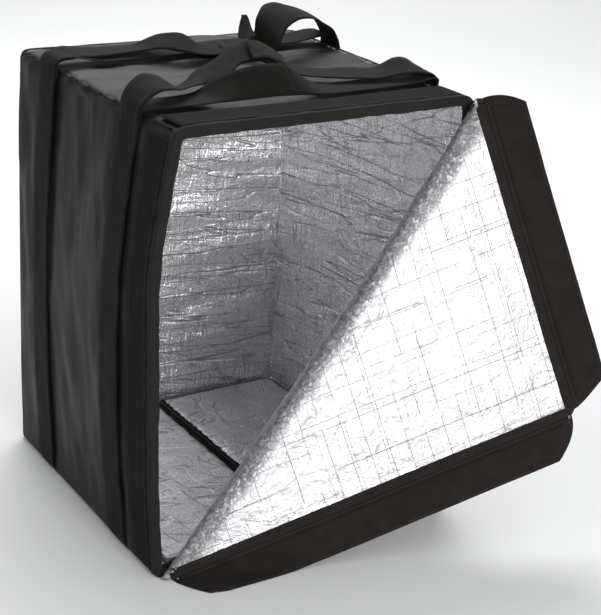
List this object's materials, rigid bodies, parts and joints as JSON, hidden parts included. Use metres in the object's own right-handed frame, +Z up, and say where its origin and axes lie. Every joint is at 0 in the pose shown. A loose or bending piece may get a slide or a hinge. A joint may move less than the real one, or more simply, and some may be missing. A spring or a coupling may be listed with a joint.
{
  "type": "insulated carrier bag",
  "caption": "Upright foil-lined insulated bag with an open front, a peel-back front flap with fastening lips, webbing handles and a folding floor insert.",
  "frame": {"origin": "centre of the footprint on the surface the bag stands on", "axes": "+X to the right of someone facing the mouth, +Y into the bag, +Z up; the mouth faces -Y"},
  "size_m": [0.614, 0.6189, 0.6805],
  "materials": {
    "nylon": "coated woven nylon, slight sheen",
    "foam": "closed-cell foam sheet",
    "foil": "crinkled aluminised film laminate, metallic silver",
    "binding_tape": "woven binding tape",
    "loop_tape": "loop pile tape",
    "hook_tape": "hook tape, matt",
    "lip_cloth": "woven nylon, matt",
    "board": "twin-wall plastic sheet",
    "hinge_cloth": "woven tape with frayed edges",
    "webbing": "ribbed polypropylene webbing",
    "grip_cloth": "fuzzy hook-and-loop wrap"
  },
  "bodies": {
    "bag": {"shell_left": "nylon", "shell_right": "nylon", "shell_top": "nylon", "shell_bottom": "nylon", "shell_back": "nylon", "foam_left": "foam", "foam_right": "foam", "foam_top": "foam", "foam_bottom": "foam", "foam_back": "foam", "lining_left": "foil", "lining_right": "foil", "lining_top": "foil", "lining_bottom": "foil", "lining_back": "foil", "binding_left": "binding_tape", "binding_right": "binding_tape", "binding_top": "binding_tape", "binding_bottom": "binding_tape", "loop_tape_left": "loop_tape", "loop_tape_top": "loop_tape", "flap_seam": "nylon", "strap_front_left": "webbing", "strap_front_right": "webbing", "strap_front_under": "webbing", "strap_back_left": "webbing", "strap_back_right": "webbing", "strap_back_under": "webbing", "floor_hinge_strip": "hinge_cloth"},
    "floor_left": {"floor_board_left": "board", "floor_foil_left": "foil"},
    "floor_right": {"floor_board_right": "board", "floor_foil_right": "foil"},
    "flap_lower": {"flap_lower_lining": "foil", "flap_lower_foam": "foam", "flap_lower_shell": "nylon"},
    "flap_upper": {"flap_upper_lining": "foil", "flap_upper_foam": "foam", "flap_upper_shell": "nylon", "lip_left_tail": "lip_cloth"},
    "lip_top": {"lip_top": "lip_cloth", "hook_tape_top": "hook_tape"},
    "lip_left": {"lip_left": "lip_cloth", "hook_tape_left": "hook_tape"},
    "handle_front": {"handle_front_upper": "webbing", "handle_front_lower": "webbing", "grip_wrap": "grip_cloth"},
    "grip_wing": {"grip_wing": "grip_cloth"},
    "handle_back": {"handle_back_upper": "webbing", "handle_back_lower": "webbing"}
  },
  "joints": [
    {"name": "flap_open", "type": "hinge", "parent": "bag", "child": "flap_lower", "pos_m": [0.229, -0.229, 0.307], "axis": [0, 0, 1], "range_deg": [0, 100]},
    {"name": "flap_peel", "type": "hinge", "parent": "flap_lower", "child": "flap_upper", "pos_m": [-0.00006, -0.2361, 0.30492], "axis": [0.5996, 0, 0.8003], "range_deg": [-157, 10]},
    {"name": "lip_top_fold", "type": "hinge", "parent": "flap_upper", "child": "lip_top", "pos_m": [0.28439, -0.3084, 0.40054], "axis": [-0.2301, 0.3127, 0.9216], "range_deg": [-90, 0]},
    {"name": "lip_left_fold", "type": "hinge", "parent": "flap_upper", "child": "lip_left", "pos_m": [0.12252, -0.32625, 0.11432], "axis": [0.9216, -0.2343, 0.3096], "range_deg": [-90, 0]},
    {"name": "handle_front_lift", "type": "hinge", "parent": "bag", "child": "handle_front", "pos_m": [0, -0.165, 0.6105], "axis": [1, 0, 0], "range_deg": [0, 70]},
    {"name": "grip_wing_fold", "type": "hinge", "parent": "handle_front", "child": "grip_wing", "pos_m": [0.015, 0.003, 0.6525], "axis": [1, 0, 0], "range_deg": [0, 60]},
    {"name": "handle_back_lift", "type": "hinge", "parent": "bag", "child": "handle_back", "pos_m": [0, 0.17, 0.6105], "axis": [-1, 0, 0], "range_deg": [0, 70]},
    {"name": "floor_left_lift", "type": "hinge", "parent": "bag", "child": "floor_left", "pos_m": [-0.0052, 0, 0.0132], "axis": [0, 1, 0], "range_deg": [0, 80]},
    {"name": "floor_right_lift", "type": "hinge", "parent": "bag", "child": "floor_right", "pos_m": [0.0052, 0, 0.0132], "axis": [0, -1, 0], "range_deg": [0, 80]}
  ]
}
